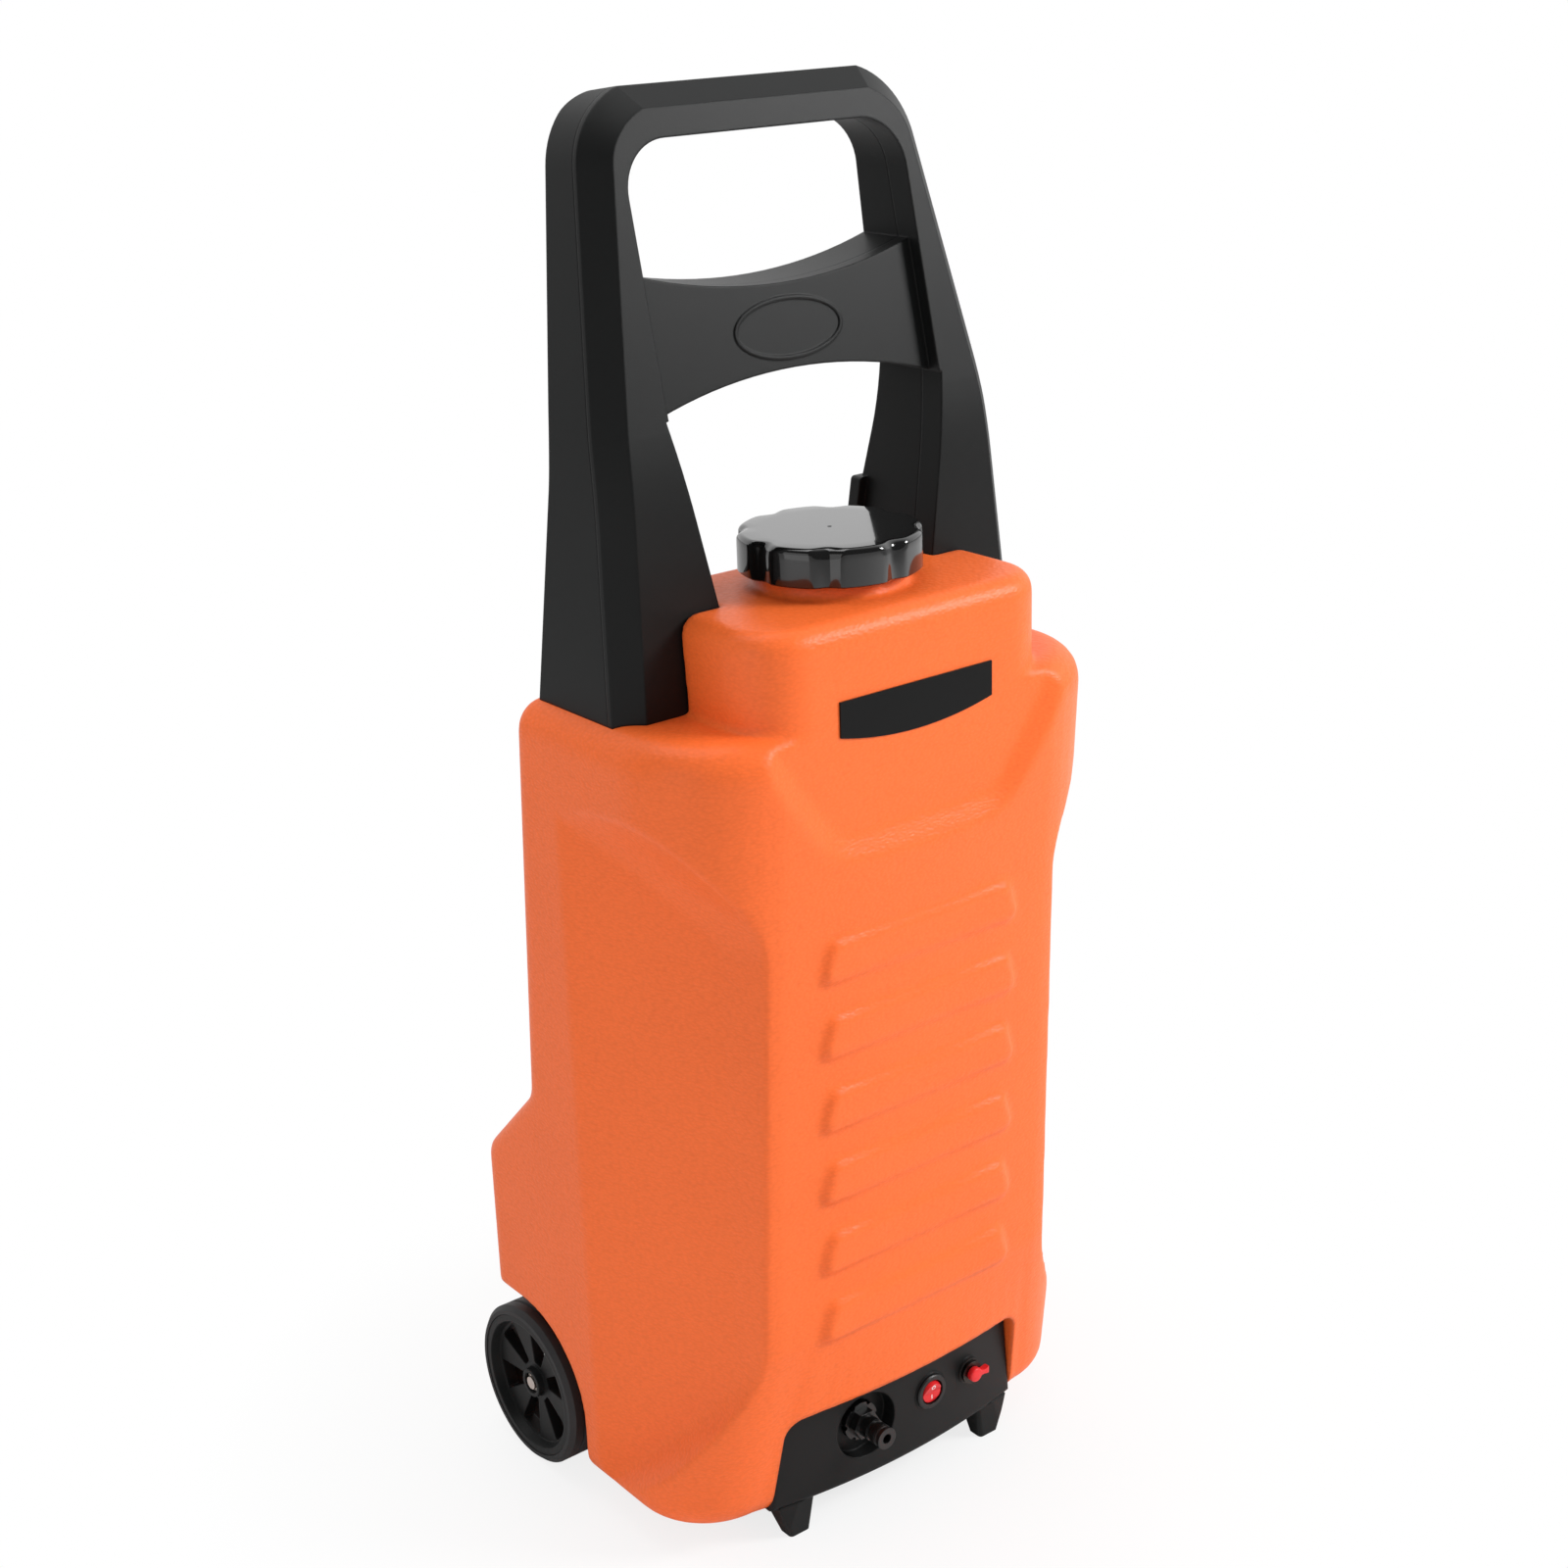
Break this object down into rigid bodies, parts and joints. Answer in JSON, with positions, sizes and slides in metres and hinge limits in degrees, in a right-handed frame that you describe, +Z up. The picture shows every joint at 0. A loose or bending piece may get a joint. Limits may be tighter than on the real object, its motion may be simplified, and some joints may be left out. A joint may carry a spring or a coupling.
{
  "type": "cordless trolley water tank with pump",
  "caption": "Upright moulded water tank on two wheels and two feet, with a tall fixed handle, screw filler cap and a pump bay with hose connector, rocker switch and charging socket.",
  "frame": {"origin": "middle of the part's footprint, on the floor that the wheels and the two front feet stand on", "axes": "+X to the user's right when facing the front panel from behind the object, -Y out of the front panel, +Z up; wheels at +Y"},
  "size_m": [0.38, 0.3118, 1.0086],
  "materials": {
    "tank_orange": "pebble-grained blow-moulded polyethylene, satin",
    "black_plastic": "satin injection-moulded plastic",
    "cap_black": "high gloss",
    "badge_black": "plain dark plate, satin gloss",
    "wheel_plastic": "satin moulded wheel",
    "tyre_rubber": "matt rubber",
    "steel": "plain zinc-plated steel",
    "axle_steel": "plain steel rod",
    "brass_fitting": "turned brass",
    "connector_grey": "satin dark plastic",
    "seal_rubber": "soft rubber",
    "red_button": "glossy red",
    "switch_black": "gloss",
    "red_rubber": "soft red rubber",
    "socket_metal": "plated metal",
    "pump_black": "glass-filled plastic",
    "motor_steel": "painted steel can",
    "clear_hose": "flexible hose",
    "fitting_black": "moulded fitting",
    "battery_grey": "moulded case"
  },
  "bodies": {
    "trolley": {"tank": "tank_orange", "handle_front_shell": "black_plastic", "handle_rear_shell": "black_plastic", "handle_screws": "steel", "handle_bolts": "steel", "badge_plate": "badge_black", "axle": "axle_steel", "axle_clamps": "black_plastic", "clamp_screws": "steel", "axle_clips": "steel", "wheel_washers": "steel", "base_housing": "black_plastic", "base_screws": "steel", "hose_connector": "connector_grey", "connector_collar": "connector_grey", "connector_nut": "brass_fitting", "connector_oring": "seal_rubber", "rocker_frame": "switch_black", "charge_socket": "socket_metal", "charge_cap_ring": "red_rubber", "charge_nut": "steel", "pump_head": "pump_black", "pump_motor": "motor_steel", "pressure_switch": "pump_black", "pump_bracket": "fitting_black", "pump_grommets": "seal_rubber", "pump_screws": "steel", "delivery_hose": "clear_hose", "suction_hose": "clear_hose", "tank_outlet": "fitting_black", "outlet_gasket": "seal_rubber", "outlet_nut": "fitting_black", "inlet_strainer": "fitting_black", "battery": "battery_grey", "battery_strap": "fitting_black", "strap_screws": "steel"},
    "right_wheel_set": {"right_wheel": "wheel_plastic", "right_tyre": "tyre_rubber"},
    "left_wheel_set": {"left_wheel": "wheel_plastic", "left_tyre": "tyre_rubber"},
    "cap_seal": {"cap_liner": "seal_rubber"},
    "cap": {"filler_cap": "cap_black"},
    "rocker": {"rocker_button": "red_button"},
    "socket_plug": {"charge_cap": "red_rubber"}
  },
  "joints": [
    {"name": "right_wheel_spin", "type": "hinge", "parent": "trolley", "child": "right_wheel_set", "pos_m": [0.174, 0.09339, 0.0625], "axis": [1, 0, 0], "continuous": true},
    {"name": "left_wheel_spin", "type": "hinge", "parent": "trolley", "child": "left_wheel_set", "pos_m": [-0.174, 0.09339, 0.0625], "axis": [1, 0, 0], "continuous": true},
    {"name": "cap_rise", "type": "slide", "parent": "trolley", "child": "cap_seal", "axis": [0, 0, 1], "range_m": [0, 0.01201]},
    {"name": "cap_turn", "type": "hinge", "parent": "cap_seal", "child": "cap", "pos_m": [0, -0.06241, 0.71], "axis": [0, 0, 1], "range_deg": [0, 720]},
    {"name": "rocker_tilt", "type": "hinge", "parent": "trolley", "child": "rocker", "pos_m": [0.025, -0.12333, 0.0735], "axis": [-1, 0, 0], "range_deg": [0, 24]},
    {"name": "plug_pull", "type": "slide", "parent": "trolley", "child": "socket_plug", "axis": [0, -1, 0], "range_m": [0, 0.012]}
  ],
  "couplings": [
    {"joint": "cap_rise", "follows": "cap_turn", "m_per_rad": 0.00095493}
  ]
}
